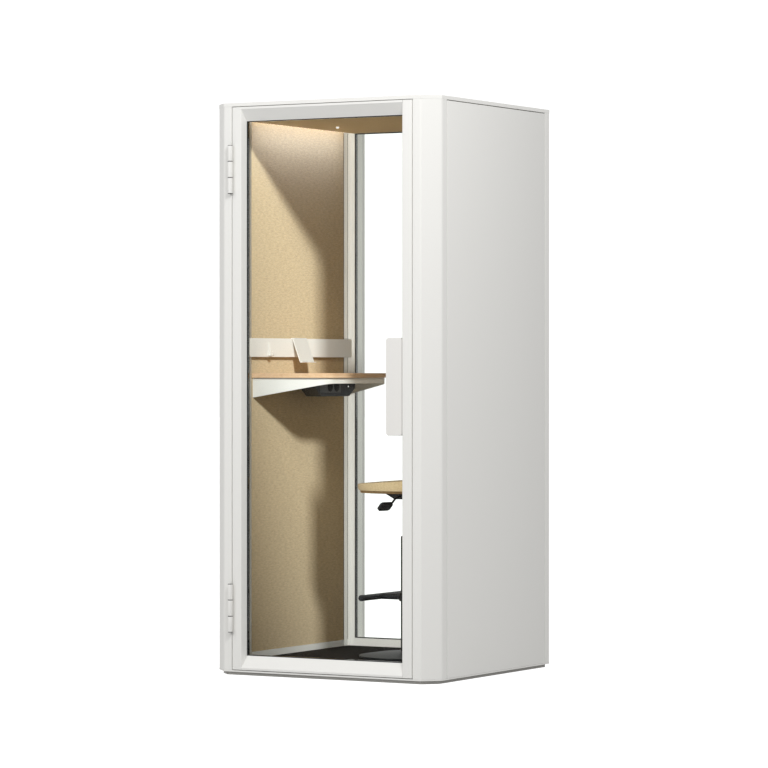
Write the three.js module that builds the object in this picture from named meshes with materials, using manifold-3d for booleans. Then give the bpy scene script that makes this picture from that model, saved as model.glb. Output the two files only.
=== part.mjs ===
// Single-person acoustic office pod: a chamfered square cabin with a hinged glass door at the front (-Y),
// a fixed glass rear wall, felt-lined side walls, a wall desk, an accessory rail and a swivel stool.
// Millimetres, +Z up, origin under the middle of the whole object.
import * as THREE from 'three';
import { mergeVertices } from 'three/addons/utils/BufferGeometryUtils.js';
import Module from 'manifold-3d';

// Overall body
const POD_WIDTH = 1000;
const POD_DEPTH = 1000;
const POD_HEIGHT = 2225;
const CORNER_CHAMFER = 60;
const CLEARANCE = 0.3;
// How far a cutting solid runs past the face it cuts through
const OVERCUT = 1;

// Base and floor
const PLINTH_HEIGHT = 13;
const PLINTH_INSET = 16;
const BASE_PLATE_THICKNESS = 5.5;
const FLOOR_DECK_THICKNESS = 27;
const CARPET_THICKNESS = 8;

// Corner posts and side walls
const POST_WIDTH = 95.5;
const POST_RETURN = 146;
const POST_SIDE_FLAT = 37;
const PANEL_GAP = 3;
const OUTER_PANEL_THICKNESS = 20;
const FELT_THICKNESS = 12;
const SKIRTING_HEIGHT = 25;
const SKIRTING_THICKNESS = 15;
const SKIRTING_PROUD = 1.5;

// Roof and ceiling
const ROOF_CAP_THICKNESS = 14;
const ROOF_CORE_THICKNESS = 41;
const CEILING_THICKNESS = 12;
const LED_WIDTH = 24;
const LED_RECESS = 3;
const LED_DEPTH = 12;
const SENSOR_DIAMETER = 18;
const SENSOR_HEIGHT = 7;
const SENSOR_SHOULDER = 2.1;
const SENSOR_CAP = 1;
const SENSOR_CAP_RADIUS = 5.4;
const SENSOR_X = -231;
const SENSOR_Y = 14;

// Ventilation fan in the roof
const FAN_X = 210;
const FAN_Y = 140;
const FAN_FRAME = 140;
const FAN_BORE = 130;
const FAN_DEPTH = 36;
const FAN_HUB = 44;
const FAN_SPINDLE = 8;
const FAN_STRUT = 10;
const FAN_STRUT_THICKNESS = 5;
const FAN_TIP_GAP = 3;
const FAN_BLADES = 7;
const FAN_BLADE_SHARE = 0.55;
const FAN_BLADE_SWEEP = 0.15;
const VENT_SLOTS = 6;
const VENT_SLOT_LENGTH = 120;
const VENT_SLOT_WIDTH = 9;
const VENT_SLOT_PITCH = 20;

// Rear window
const REAR_FRAME_WIDTH = 28;
const REAR_FRAME_DEPTH = 106;
const REAR_CORNER_EASE = 8;
const REAR_BEVEL_WIDTH = 14;
const REAR_BEVEL_DEPTH = 43;
const REAR_BOTTOM_RAIL = 67;
const REAR_GASKET_SETBACK = 4;
const GASKET_WIDTH = 3;
const GASKET_DEPTH = 14;
const GLASS_THICKNESS = 8;

// Door
const DOOR_GAP = 3;
const DOOR_THICKNESS = 46;
const STILE_FLAT = 41;
const STILE_BEVEL = 10;
const DOOR_BEVEL_DEPTH = 26;
const RAIL_FLAT = 8;
const RAIL_SLOPE = 46;
const SEAL_GAP = 4;
const DOOR_STOP_WIDTH = 16;
const DOOR_STOP_DEPTH = 12;

// Door pulls
const PULL_LENGTH = 371;
const PULL_WIDTH = 71;
const PULL_THICKNESS = 5;
const PULL_CORNER = 12;
const PULL_CENTRE_Z = 1123.5;
const PULL_OVERLAP = 2.5;
const PULL_STANDOFF = 13;
const PULL_BOSS = 16;
const PULL_BOSS_SPACING = 280;

// Hinges
const HINGE_RADIUS = 9.5;
const HINGE_PIN = 8;
const HINGE_PIN_GAP = 0.05;
const KNUCKLE_LENGTH = 62.4;
const KNUCKLE_GAP = 0.6;
const HINGE_LEAF = 1.05;
const HINGE_LEAF_DEPTH = 34;
const UPPER_HINGE_DROP = 244.4;
const LOWER_HINGE_RISE = 242;

// Desk
const DESK_TOP_Z = 1174;
const DESK_WOOD = 18;
const DESK_REACH = 289;
const DESK_TAPER = 114;
const DESK_CORNER = 80;
const TRAY_INSET = 8;
const TRAY_SHEET = 4;
const TRAY_FREE_HEIGHT = 22;
const TRAY_WALL_HEIGHT = 77;
const POWER_END_GAP = 44;
const POWER_FRONT_GAP = 124;
const POWER_WIDTH = 70;
const POWER_HEIGHT = 70;
const POWER_WALL_OFFSET = 78;
const POWER_END_RUN = 46;
const POWER_END_RISE = 34;

// Accessory rail with its coat hook and phone holder
const RAIL_END_GAP = 2;
const RAIL_HEIGHT = 74;
const RAIL_BOTTOM_Z = 1238;
const RAIL_SHEET = 4;
const RAIL_STANDOFF = 12;
const RAIL_CORNER = 8;
const RAIL_BOSS = 20;
const RAIL_BOSS_INSET = 112;
const HOOK_END_OFFSET = 143;
const HOOK_WIDTH = 14;
const HOOK_SHEET = 4;
const HOOK_HEIGHT = 52;
const HOOK_DROP = 18;
const HOOK_REACH = 20;
const HOOK_TIP = 18;
const HOLDER_Y = -22;
const HOLDER_WIDTH = 106;
const HOLDER_SHEET = 2.4;
const HOLDER_CLIP = 16;
const HOLDER_DROP = 98;
const HOLDER_LEAN = 36;
const HOLDER_LIP = 12;

// Stool
const STOOL_X = 97;
const STOOL_Y = 0;
const BASE_DIAMETER = 380;
const BASE_EDGE = 8;
const BASE_DOME = 24;
const BASE_SHOULDER = 8.8;
const COLUMN_DIAMETER = 50;
const COLUMN_BORE = 29;
const COLUMN_HEIGHT = 478;
const ROD_DIAMETER = 28;
const ROD_INSERT = 330;
const MECHANISM_SIZE = 150;
const MECHANISM_HEIGHT = 26;
const MECHANISM_TOP_SIZE = 180;
const SEAT_UNDERSIDE_Z = 704;
const SEAT_PAN_THICKNESS = 10;
const SEAT_PAN_INSET = 10;
const SEAT_DIAMETER = 390;
const CUSHION_FRONT = 24;
const CUSHION_BACK = 52;
const CUSHION_EDGE = 22;
const LEVER_ROD = 8;
const LEVER_HEADING = 260;
const LEVER_REACH = 108;
const LEVER_SWEEP_DROP = 38;
const LEVER_BEND_DROP = 9.5;
const PADDLE_LENGTH = 62;
const PADDLE_WIDTH = 38;
const PADDLE_THICKNESS = 11;
const PADDLE_TILT = 50;
const FOOT_BAR_Z = 292;
const FOOT_BAR_REACH = 118;
const FOOT_BAR_LENGTH = 324;
const FOOT_BAR_TUBE = 24;
const FOOT_COLLAR = 64;
const FOOT_COLLAR_HEIGHT = 32;

// Round pieces are drawn with this many sides
const ROUND_SIDES = 32;

// Levels and faces that neighbouring pieces share
const halfWidth = POD_WIDTH / 2;
const halfDepth = POD_DEPTH / 2;
const wallInner = halfWidth - POST_WIDTH;
const postEndY = halfDepth - POST_RETURN;
const basePlateTop = PLINTH_HEIGHT + CLEARANCE + BASE_PLATE_THICKNESS;
const bodyBottom = basePlateTop + CLEARANCE;
const roofCapBottom = POD_HEIGHT - ROOF_CAP_THICKNESS;
const bodyTop = roofCapBottom - CLEARANCE;
const deckTop = bodyBottom + FLOOR_DECK_THICKNESS;
const carpetTop = deckTop + CLEARANCE + CARPET_THICKNESS;
const roofCoreBottom = bodyTop - ROOF_CORE_THICKNESS;
const ceilingTop = roofCoreBottom - CLEARANCE;
const ceilingBottom = ceilingTop - CEILING_THICKNESS;
const skirtingTop = carpetTop + SKIRTING_HEIGHT;
const frontFace = -halfDepth;
const stopFront = frontFace + DOOR_THICKNESS + SEAL_GAP;
const rearInner = halfDepth - REAR_FRAME_DEPTH;
const hingeProud = HINGE_RADIUS * 2 + CLEARANCE;

const wasm = await Module();
wasm.setup();

const pod = new THREE.Group();
// The hinge barrels stand proud of the front, so the body is set back by half of that to stay centred
pod.position.set(0, hingeProud / 2, 0);

// Finishes
const finish = (color, roughness, metalness = 0) => ({ color, roughness, metalness });
const WHITE_PAINT = finish(0xe9e8e4, 0.55);
const WARM_WHITE_PAINT = finish(0xdedbd3, 0.5);
const DARK_BASE = finish(0x6c6b66, 0.7);
const BOARD = finish(0xb9a184, 0.8);
const CARPET = finish(0x37332f, 0.95);
const INSULATION = finish(0x8f8f8c, 0.95);
const BEIGE_FELT = finish(0xc9ad7f, 0.95);
const OPAL_DIFFUSER = finish(0xfff3df, 0.4);
const BLACK_RUBBER = finish(0x202224, 0.8);
const BLACK_PLASTIC = finish(0x17181a, 0.5);
const BLACK_STEEL = finish(0x1a1b1d, 0.45, 0.4);
const OAK = finish(0xcf9a63, 0.5);
const PLYWOOD = finish(0xb08a5a, 0.7);
const CLEAR_GLASS = { ...finish(0xdfe9e6, 0.05), transparent: true, opacity: 0.25 };

function place(name, geometry, material) {
  const mesh = new THREE.Mesh(geometry, new THREE.MeshStandardMaterial(material));
  mesh.name = name;
  pod.add(mesh);
  return mesh;
}

// A rectangular block between two corners
function block([x0, x1], [y0, y1], [z0, z1]) {
  const geometry = new THREE.BoxGeometry(x1 - x0, y1 - y0, z1 - z0);
  return geometry.translate((x0 + x1) / 2, (y0 + y1) / 2, (z0 + z1) / 2);
}

const toShape = (points) => new THREE.Shape(points.map(([u, v]) => new THREE.Vector2(u, v)));
const extrude = (shape, depth) => new THREE.ExtrudeGeometry(
  shape, { depth, bevelEnabled: false, curveSegments: 10 });

// A plan outline raised from one level to another
function upright(shape, z0, z1) {
  return extrude(shape, z1 - z0).translate(0, 0, z0);
}

// A section in Y and Z carried along X
function alongX(shape, x0, x1) {
  const turn = new THREE.Matrix4().makeBasis(
    new THREE.Vector3(0, 1, 0), new THREE.Vector3(0, 0, 1), new THREE.Vector3(1, 0, 0));
  return extrude(shape, x1 - x0).applyMatrix4(turn).translate(x0, 0, 0);
}

// A section in X and Z carried along Y
function alongY(shape, y0, y1) {
  const turn = new THREE.Matrix4().makeBasis(
    new THREE.Vector3(1, 0, 0), new THREE.Vector3(0, 0, 1), new THREE.Vector3(0, -1, 0));
  return extrude(shape, y1 - y0).applyMatrix4(turn).translate(0, y1, 0);
}

// A round bar standing on end
function post(radius, z0, z1, x, y, sides = ROUND_SIDES) {
  const geometry = new THREE.CylinderGeometry(radius, radius, z1 - z0, sides).rotateX(Math.PI / 2);
  return geometry.translate(x, y, (z0 + z1) / 2);
}

// A round bar lying along X or Y
function rod(radius, from, to, sides = ROUND_SIDES) {
  const start = new THREE.Vector3(...from);
  const end = new THREE.Vector3(...to);
  const path = new THREE.LineCurve3(start, end);
  const circle = new THREE.Shape().absarc(0, 0, radius, 0, Math.PI * 2);
  const options = { steps: 1, extrudePath: path, curveSegments: sides / 2, bevelEnabled: false };
  return new THREE.ExtrudeGeometry(circle, options);
}

// A profile of radius and height turned about the upright axis
function turned(profile, x, y) {
  const points = profile.map(([radius, z]) => new THREE.Vector2(radius, z));
  return new THREE.LatheGeometry(points, ROUND_SIDES).rotateX(Math.PI / 2).translate(x, y, 0);
}

function toSolid(geometry) {
  const bare = geometry.index ? geometry.toNonIndexed() : geometry.clone();
  bare.deleteAttribute('normal');
  bare.deleteAttribute('uv');
  const merged = mergeVertices(bare, 1e-4);
  const vertProperties = Float32Array.from(merged.attributes.position.array);
  const triVerts = Uint32Array.from(merged.index.array);
  return new wasm.Manifold(new wasm.Mesh({ numProp: 3, vertProperties, triVerts }));
}

function toGeometry(solid) {
  const { vertProperties, triVerts } = solid.getMesh();
  const geometry = new THREE.BufferGeometry();
  geometry.setAttribute('position', new THREE.BufferAttribute(vertProperties, 3));
  geometry.setIndex(new THREE.BufferAttribute(triVerts, 1));
  return geometry;
}

function join(...geometries) {
  const solids = geometries.map(toSolid);
  return toGeometry(solids.reduce((whole, piece) => whole.add(piece)));
}

function cut(geometry, ...tools) {
  const solids = tools.map(toSolid);
  return toGeometry(solids.reduce((rest, tool) => rest.subtract(tool), toSolid(geometry)));
}

// A rectangle in plan with its four corners cut off at 45 degrees
function chamferedPlan(halfX, halfY, chamfer) {
  return toShape([
    [-halfX + chamfer, -halfY], [halfX - chamfer, -halfY],
    [halfX, -halfY + chamfer], [halfX, halfY - chamfer],
    [halfX - chamfer, halfY], [-halfX + chamfer, halfY],
    [-halfX, halfY - chamfer], [-halfX, -halfY + chamfer],
  ]);
}

function roundedRectangle(u0, u1, v0, v1, radius) {
  const shape = new THREE.Shape();
  shape.absarc(u1 - radius, v1 - radius, radius, 0, Math.PI / 2);
  shape.absarc(u0 + radius, v1 - radius, radius, Math.PI / 2, Math.PI);
  shape.absarc(u0 + radius, v0 + radius, radius, Math.PI, Math.PI * 1.5);
  shape.absarc(u1 - radius, v0 + radius, radius, Math.PI * 1.5, Math.PI * 2);
  shape.closePath();
  return shape;
}

// A flat rectangular ring standing in the X-Z plane
function uprightRing([x0, x1], [z0, z1], width, y0, y1) {
  const ring = toShape([[x0, z0], [x1, z0], [x1, z1], [x0, z1]]);
  ring.holes.push(toShape([
    [x0 + width, z0 + width], [x0 + width, z1 - width],
    [x1 - width, z1 - width], [x1 - width, z0 + width],
  ]));
  return alongY(ring, y0, y1);
}

const sides = [['left', -1], ['right', 1]];
const ordered = (a, b) => [Math.min(a, b), Math.max(a, b)];
const inset = ([low, high], by) => [low + by, high - by];
const grown = ([low, high]) => inset([low, high], -OVERCUT);

// Base: dark set-back plinth, then the plate that the posts stand on
const plinthChamfer = CORNER_CHAMFER - PLINTH_INSET * (2 - Math.SQRT2);
const plinthPlan = chamferedPlan(halfWidth - PLINTH_INSET, halfDepth - PLINTH_INSET, plinthChamfer);
place('base_plinth', upright(plinthPlan, 0, PLINTH_HEIGHT), DARK_BASE);
const basePlan = chamferedPlan(halfWidth, halfDepth, CORNER_CHAMFER);
place('base_plate', upright(basePlan, PLINTH_HEIGHT + CLEARANCE, basePlateTop), WHITE_PAINT);

// Floor: insulated deck between the walls, with a carpet tile on it
const floorX = [-wallInner + CLEARANCE, wallInner - CLEARANCE];
const floorY = [stopFront, rearInner - CLEARANCE];
place('floor_deck', block(floorX, floorY, [bodyBottom, deckTop]), BOARD);
place('carpet', block(floorX, floorY, [deckTop + CLEARANCE, carpetTop]), CARPET);

// Corner posts: full-height folded profiles with a 45 degree outer face and a tongue behind the side panel
const postCorners = [
  ['front_left', -1, -1], ['front_right', 1, -1], ['rear_left', -1, 1], ['rear_right', 1, 1],
];
const tongueStep = OUTER_PANEL_THICKNESS + CLEARANCE;
const postFaceEnd = CORNER_CHAMFER + POST_SIDE_FLAT;
for (const [corner, sideX, sideY] of postCorners) {
  const outline = [
    [CORNER_CHAMFER, 0], [POST_WIDTH, 0], [POST_WIDTH, POST_RETURN], [tongueStep, POST_RETURN],
    [tongueStep, postFaceEnd], [0, postFaceEnd], [0, CORNER_CHAMFER],
  ].map(([inX, inY]) => [sideX * (halfWidth - inX), sideY * (halfDepth - inY)]);
  place(`corner_post_${corner}`, upright(toShape(outline), bodyBottom, bodyTop), WHITE_PAINT);
}

// Side walls: painted outer panel, insulation core, felt panel and skirting
const panelEndY = halfDepth - postFaceEnd - PANEL_GAP;
const coreEndY = postEndY - CLEARANCE;
for (const [side, sideX] of sides) {
  const outerFace = sideX * halfWidth;
  const panelBack = sideX * (halfWidth - OUTER_PANEL_THICKNESS);
  const coreOuter = panelBack - sideX * CLEARANCE;
  const feltBack = sideX * (wallInner + FELT_THICKNESS);
  const coreInner = feltBack + sideX * CLEARANCE;
  const skirtingBack = sideX * (wallInner + SKIRTING_THICKNESS - SKIRTING_PROUD);
  const skirtingFace = sideX * (wallInner - SKIRTING_PROUD);
  const wallY = [-coreEndY, coreEndY];
  const panelZ = [bodyBottom, bodyTop - PANEL_GAP];
  const panel = block(ordered(outerFace, panelBack), [-panelEndY, panelEndY], panelZ);
  place(`outer_panel_${side}`, panel, WHITE_PAINT);
  const core = block(ordered(coreOuter, coreInner), wallY, [bodyBottom, bodyTop]);
  const pocketX = ordered(coreInner - sideX * OVERCUT, skirtingBack + sideX * CLEARANCE);
  const pocketZ = [bodyBottom - OVERCUT, skirtingTop + CLEARANCE];
  const skirtingPocket = block(pocketX, grown(wallY), pocketZ);
  place(`wall_core_${side}`, cut(core, skirtingPocket), INSULATION);
  place(`felt_panel_${side}`, block(
    ordered(feltBack, sideX * wallInner), wallY, [skirtingTop + CLEARANCE, bodyTop]), BEIGE_FELT);
  place(`skirting_${side}`, block(
    ordered(skirtingBack, skirtingFace), wallY, [carpetTop + CLEARANCE, skirtingTop]), WHITE_PAINT);
}

// Roof: slotted cap over the whole plan, insulated core with a fan opening, felt ceiling, light strips
const roofPlan = chamferedPlan(halfWidth, halfDepth, CORNER_CHAMFER);
for (let slot = 0; slot < VENT_SLOTS; slot += 1) {
  const slotY = FAN_Y + (slot - (VENT_SLOTS - 1) / 2) * VENT_SLOT_PITCH;
  roofPlan.holes.push(toShape([
    [FAN_X - VENT_SLOT_LENGTH / 2, slotY - VENT_SLOT_WIDTH / 2],
    [FAN_X - VENT_SLOT_LENGTH / 2, slotY + VENT_SLOT_WIDTH / 2],
    [FAN_X + VENT_SLOT_LENGTH / 2, slotY + VENT_SLOT_WIDTH / 2],
    [FAN_X + VENT_SLOT_LENGTH / 2, slotY - VENT_SLOT_WIDTH / 2],
  ]));
}
place('roof_cap', upright(roofPlan, roofCapBottom, POD_HEIGHT), WHITE_PAINT);
const fanHalf = FAN_FRAME / 2;
const roofCore = block(floorX, floorY, [roofCoreBottom, bodyTop]);
const fanOpening = block(
  [FAN_X - fanHalf - CLEARANCE, FAN_X + fanHalf + CLEARANCE],
  [FAN_Y - fanHalf - CLEARANCE, FAN_Y + fanHalf + CLEARANCE], grown([roofCoreBottom, bodyTop]));
place('roof_core', cut(roofCore, fanOpening), INSULATION);
const ceilingEdge = wallInner - CLEARANCE - LED_WIDTH - CLEARANCE;
place('ceiling_panel', block([-ceilingEdge, ceilingEdge], floorY, [ceilingBottom, ceilingTop]), BEIGE_FELT);
for (const [side, sideX] of sides) {
  const lightX = ordered(sideX * (wallInner - CLEARANCE), sideX * (ceilingEdge + CLEARANCE));
  const lightBottom = ceilingTop - LED_DEPTH + LED_RECESS;
  const light = block(lightX, [-coreEndY, coreEndY], [lightBottom, ceilingTop]);
  place(`led_strip_${side}`, light, OPAL_DIFFUSER);
}
const sensorTop = ceilingBottom - CLEARANCE;
const sensorBottom = sensorTop - SENSOR_HEIGHT;
place('presence_sensor', turned([
  [0, sensorBottom], [SENSOR_CAP_RADIUS, sensorBottom + SENSOR_CAP],
  [SENSOR_DIAMETER / 2, sensorTop - SENSOR_SHOULDER], [SENSOR_DIAMETER / 2, sensorTop], [0, sensorTop],
], SENSOR_X, SENSOR_Y), WHITE_PAINT);

// Fan: square frame with two cross struts that carry the spindle, and a bladed rotor on it
const fanTop = bodyTop - CLEARANCE;
const fanBottom = fanTop - FAN_DEPTH;
const framePlan = toShape([
  [FAN_X - fanHalf, FAN_Y - fanHalf], [FAN_X + fanHalf, FAN_Y - fanHalf],
  [FAN_X + fanHalf, FAN_Y + fanHalf], [FAN_X - fanHalf, FAN_Y + fanHalf],
]);
framePlan.holes.push(new THREE.Path().absarc(FAN_X, FAN_Y, FAN_BORE / 2, 0, Math.PI * 2, true));
const strutZ = [fanTop - FAN_STRUT_THICKNESS, fanTop];
const strutReach = (FAN_BORE + FAN_FRAME) / 4;
place('fan_housing', join(
  upright(framePlan, fanBottom, fanTop),
  block([FAN_X - strutReach, FAN_X + strutReach], [FAN_Y - FAN_STRUT / 2, FAN_Y + FAN_STRUT / 2], strutZ),
  block([FAN_X - FAN_STRUT / 2, FAN_X + FAN_STRUT / 2], [FAN_Y - strutReach, FAN_Y + strutReach], strutZ),
  post(FAN_SPINDLE / 2, fanBottom + FAN_TIP_GAP, fanTop - FAN_STRUT_THICKNESS / 2, FAN_X, FAN_Y),
), BLACK_PLASTIC);
const rotorPoints = [];
const bladeTip = FAN_BORE / 2 - FAN_TIP_GAP;
const bladeStep = (Math.PI * 2) / FAN_BLADES;
const bladeCorners = [
  [FAN_HUB / 2, 0], [bladeTip, FAN_BLADE_SWEEP],
  [bladeTip, FAN_BLADE_SWEEP + FAN_BLADE_SHARE], [FAN_HUB / 2, FAN_BLADE_SHARE],
];
for (let blade = 0; blade < FAN_BLADES; blade += 1) {
  for (const [radius, share] of bladeCorners) {
    const angle = (blade + share) * bladeStep;
    rotorPoints.push([FAN_X + radius * Math.cos(angle), FAN_Y + radius * Math.sin(angle)]);
  }
}
const rotorPlan = toShape(rotorPoints);
rotorPlan.holes.push(
  new THREE.Path().absarc(FAN_X, FAN_Y, FAN_SPINDLE / 2 + CLEARANCE, 0, Math.PI * 2, true));
place('fan_rotor', upright(
  rotorPlan, fanBottom + FAN_TIP_GAP, fanTop - FAN_STRUT_THICKNESS - CLEARANCE), BLACK_PLASTIC);

// Rear window: fixed frame with an eased inner corner, a rubber ring and the pane held in it
const rearOpening = wallInner - CLEARANCE - REAR_FRAME_WIDTH;
const rearRailBottomZ = bodyBottom + REAR_BOTTOM_RAIL;
for (const [side, sideX] of sides) {
  const outline = [
    [wallInner - CLEARANCE, rearInner - REAR_CORNER_EASE],
    [wallInner - CLEARANCE - REAR_CORNER_EASE, rearInner], [rearOpening, rearInner],
    [rearOpening, halfDepth - REAR_BEVEL_DEPTH], [rearOpening + REAR_BEVEL_WIDTH, halfDepth],
    [wallInner - CLEARANCE, halfDepth],
  ].map(([x, y]) => [sideX * x, y]);
  const stile = upright(toShape(outline), bodyBottom, bodyTop);
  const notchX = ordered(0, sideX * halfWidth);
  const notchY = [rearInner - REAR_CORNER_EASE - OVERCUT, rearInner];
  const floorNotch = block(notchX, notchY, [0, carpetTop + CLEARANCE]);
  const ceilingNotch = block(notchX, notchY, [ceilingBottom - CLEARANCE, POD_HEIGHT]);
  place(`rear_stile_${side}`, cut(stile, floorNotch, ceilingNotch), WARM_WHITE_PAINT);
}
const rearRailX = [-rearOpening + CLEARANCE, rearOpening - CLEARANCE];
const rearBottomSection = toShape([
  [rearInner, bodyBottom], [halfDepth, bodyBottom], [halfDepth, rearRailBottomZ - REAR_BEVEL_WIDTH],
  [halfDepth - REAR_BEVEL_DEPTH, rearRailBottomZ], [rearInner, rearRailBottomZ],
]);
place('rear_rail_bottom', alongX(rearBottomSection, ...rearRailX), WARM_WHITE_PAINT);
const rearTopSection = toShape([
  [rearInner, ceilingBottom], [halfDepth - REAR_BEVEL_DEPTH, ceilingBottom],
  [halfDepth, ceilingBottom + REAR_BEVEL_WIDTH], [halfDepth, bodyTop], [rearInner, bodyTop],
]);
place('rear_rail_top', alongX(rearTopSection, ...rearRailX), WARM_WHITE_PAINT);
const rearGasketY = rearInner + REAR_GASKET_SETBACK;
const rearGasketZ = [rearRailBottomZ + CLEARANCE, ceilingBottom - CLEARANCE];
place('rear_gasket', uprightRing(
  rearRailX, rearGasketZ, GASKET_WIDTH, rearGasketY, rearGasketY + GASKET_DEPTH), BLACK_RUBBER);
const paneInset = GASKET_WIDTH + CLEARANCE;
const paneY = (gasketY) => inset([gasketY, gasketY + GASKET_DEPTH], (GASKET_DEPTH - GLASS_THICKNESS) / 2);
const rearPane = block(inset(rearRailX, paneInset), paneY(rearGasketY), inset(rearGasketZ, paneInset));
place('rear_glass', rearPane, CLEAR_GLASS);

// Door frame: two stiles with a narrow bevel, two rails with a tall slope coped to the stiles
const doorEdge = wallInner - DOOR_GAP;
const doorBack = frontFace + DOOR_THICKNESS;
const doorZ = [bodyBottom + DOOR_GAP - CLEARANCE, bodyTop - DOOR_GAP + CLEARANCE];
const bevelY = frontFace + DOOR_BEVEL_DEPTH;
const stileInner = doorEdge - STILE_FLAT - STILE_BEVEL;
const stileOutline = (sideX, grow) => toShape([
  [doorEdge, frontFace], [doorEdge - STILE_FLAT - grow, frontFace], [stileInner - grow, bevelY],
  [stileInner - grow, doorBack], [doorEdge, doorBack],
].map(([x, y]) => [sideX * x, y]));
place('door_stile_hinge', upright(stileOutline(-1, 0), ...doorZ), WHITE_PAINT);
place('door_stile_pull', upright(stileOutline(1, 0), ...doorZ), WHITE_PAINT);
const railHeight = RAIL_FLAT + RAIL_SLOPE;
const copeSpan = doorEdge - STILE_FLAT;
function copedRail(edgeZ, inward) {
  const section = toShape([
    [frontFace, edgeZ], [frontFace, edgeZ + inward * RAIL_FLAT], [bevelY, edgeZ + inward * railHeight],
    [doorBack, edgeZ + inward * railHeight], [doorBack, edgeZ],
  ]);
  const copeTools = [-1, 1].map((sideX) => upright(stileOutline(sideX, CLEARANCE), ...grown(doorZ)));
  return cut(alongX(section, -copeSpan - STILE_BEVEL, copeSpan + STILE_BEVEL), ...copeTools);
}
place('door_rail_top', copedRail(doorZ[1], -1), WHITE_PAINT);
place('door_rail_bottom', copedRail(doorZ[0], 1), WHITE_PAINT);
const doorPaneX = [-stileInner + CLEARANCE, stileInner - CLEARANCE];
const doorPaneZ = [doorZ[0] + railHeight + CLEARANCE, doorZ[1] - railHeight - CLEARANCE];
place('door_gasket', uprightRing(
  doorPaneX, doorPaneZ, GASKET_WIDTH, bevelY + CLEARANCE, bevelY + CLEARANCE + GASKET_DEPTH), BLACK_RUBBER);
const doorGlassY = paneY(bevelY + CLEARANCE);
const doorPane = block(inset(doorPaneX, paneInset), doorGlassY, inset(doorPaneZ, paneInset));
place('door_glass', doorPane, CLEAR_GLASS);

// Door stops on the post edges, behind the closed door
for (const [side, sideX] of sides) {
  const stopOuter = wallInner - CLEARANCE;
  const stopX = ordered(sideX * stopOuter, sideX * (stopOuter - DOOR_STOP_WIDTH));
  const stopZ = [carpetTop + CLEARANCE, ceilingBottom - CLEARANCE];
  const stopY = [stopFront, stopFront + DOOR_STOP_DEPTH];
  place(`door_stop_${side}`, block(stopX, stopY, stopZ), WHITE_PAINT);
}

// Door pulls: rounded plates on two bosses, one on each face of the glass
const pullRight = stileInner + PULL_OVERLAP;
const pullLeft = pullRight - PULL_WIDTH;
const pullPlate = roundedRectangle(
  pullLeft, pullRight, PULL_CENTRE_Z - PULL_LENGTH / 2, PULL_CENTRE_Z + PULL_LENGTH / 2, PULL_CORNER);
function doorPull(glassFace, outward) {
  const plateNear = glassFace + outward * PULL_STANDOFF;
  const plateY = ordered(plateNear, plateNear + outward * PULL_THICKNESS);
  const plateMiddle = (plateY[0] + plateY[1]) / 2;
  const bossX = (pullLeft + pullRight) / 2;
  const bosses = [-1, 1].map((end) => {
    const bossZ = PULL_CENTRE_Z + (end * PULL_BOSS_SPACING) / 2;
    return rod(PULL_BOSS / 2, [bossX, glassFace + outward * CLEARANCE, bossZ], [bossX, plateMiddle, bossZ]);
  });
  return join(alongY(pullPlate, ...plateY), ...bosses);
}
place('door_pull_outer', doorPull(doorGlassY[0], -1), WARM_WHITE_PAINT);
place('door_pull_inner', doorPull(doorGlassY[1], 1), WARM_WHITE_PAINT);

// Hinges: three knuckles before the gap, the middle one on the door leaf, the pin fixed in the others
const hingeX = -wallInner;
const hingeY = frontFace - HINGE_RADIUS - CLEARANCE;
const leafY = [hingeY, frontFace + HINGE_LEAF_DEPTH];
const frameLeafX = [-wallInner + CLEARANCE, -wallInner + CLEARANCE + HINGE_LEAF];
const doorLeafX = [-doorEdge - CLEARANCE - HINGE_LEAF, -doorEdge - CLEARANCE];
const knucklePitch = KNUCKLE_LENGTH + KNUCKLE_GAP;
const knuckle = (z0, z1) => post(HINGE_RADIUS, z0, z1, hingeX, hingeY);
const hingeLevels = [['upper', bodyTop - UPPER_HINGE_DROP], ['lower', bodyBottom + LOWER_HINGE_RISE]];
for (const [level, centreZ] of hingeLevels) {
  const middle = [centreZ - KNUCKLE_LENGTH / 2, centreZ + KNUCKLE_LENGTH / 2];
  const low = middle.map((z) => z - knucklePitch);
  const high = middle.map((z) => z + knucklePitch);
  const slotY = leafY.map((y) => y - HINGE_LEAF_DEPTH);
  const leafSlot = block(grown(frameLeafX), slotY, inset(middle, -KNUCKLE_GAP));
  const frameLeaf = cut(block(frameLeafX, leafY, [low[0], high[1]]), leafSlot);
  place(`hinge_${level}_frame_leaf`, join(
    frameLeaf, knuckle(...low), knuckle(...high),
    post(HINGE_PIN / 2, low[0], high[1], hingeX, hingeY)), WHITE_PAINT);
  const boreRadius = HINGE_PIN / 2 + HINGE_PIN_GAP;
  const pinWay = post(boreRadius, ...grown(middle), hingeX, hingeY);
  const doorLeaf = cut(join(block(doorLeafX, leafY, middle), knuckle(...middle)), pinWay);
  place(`hinge_${level}_door_leaf`, doorLeaf, WHITE_PAINT);
}

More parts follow.
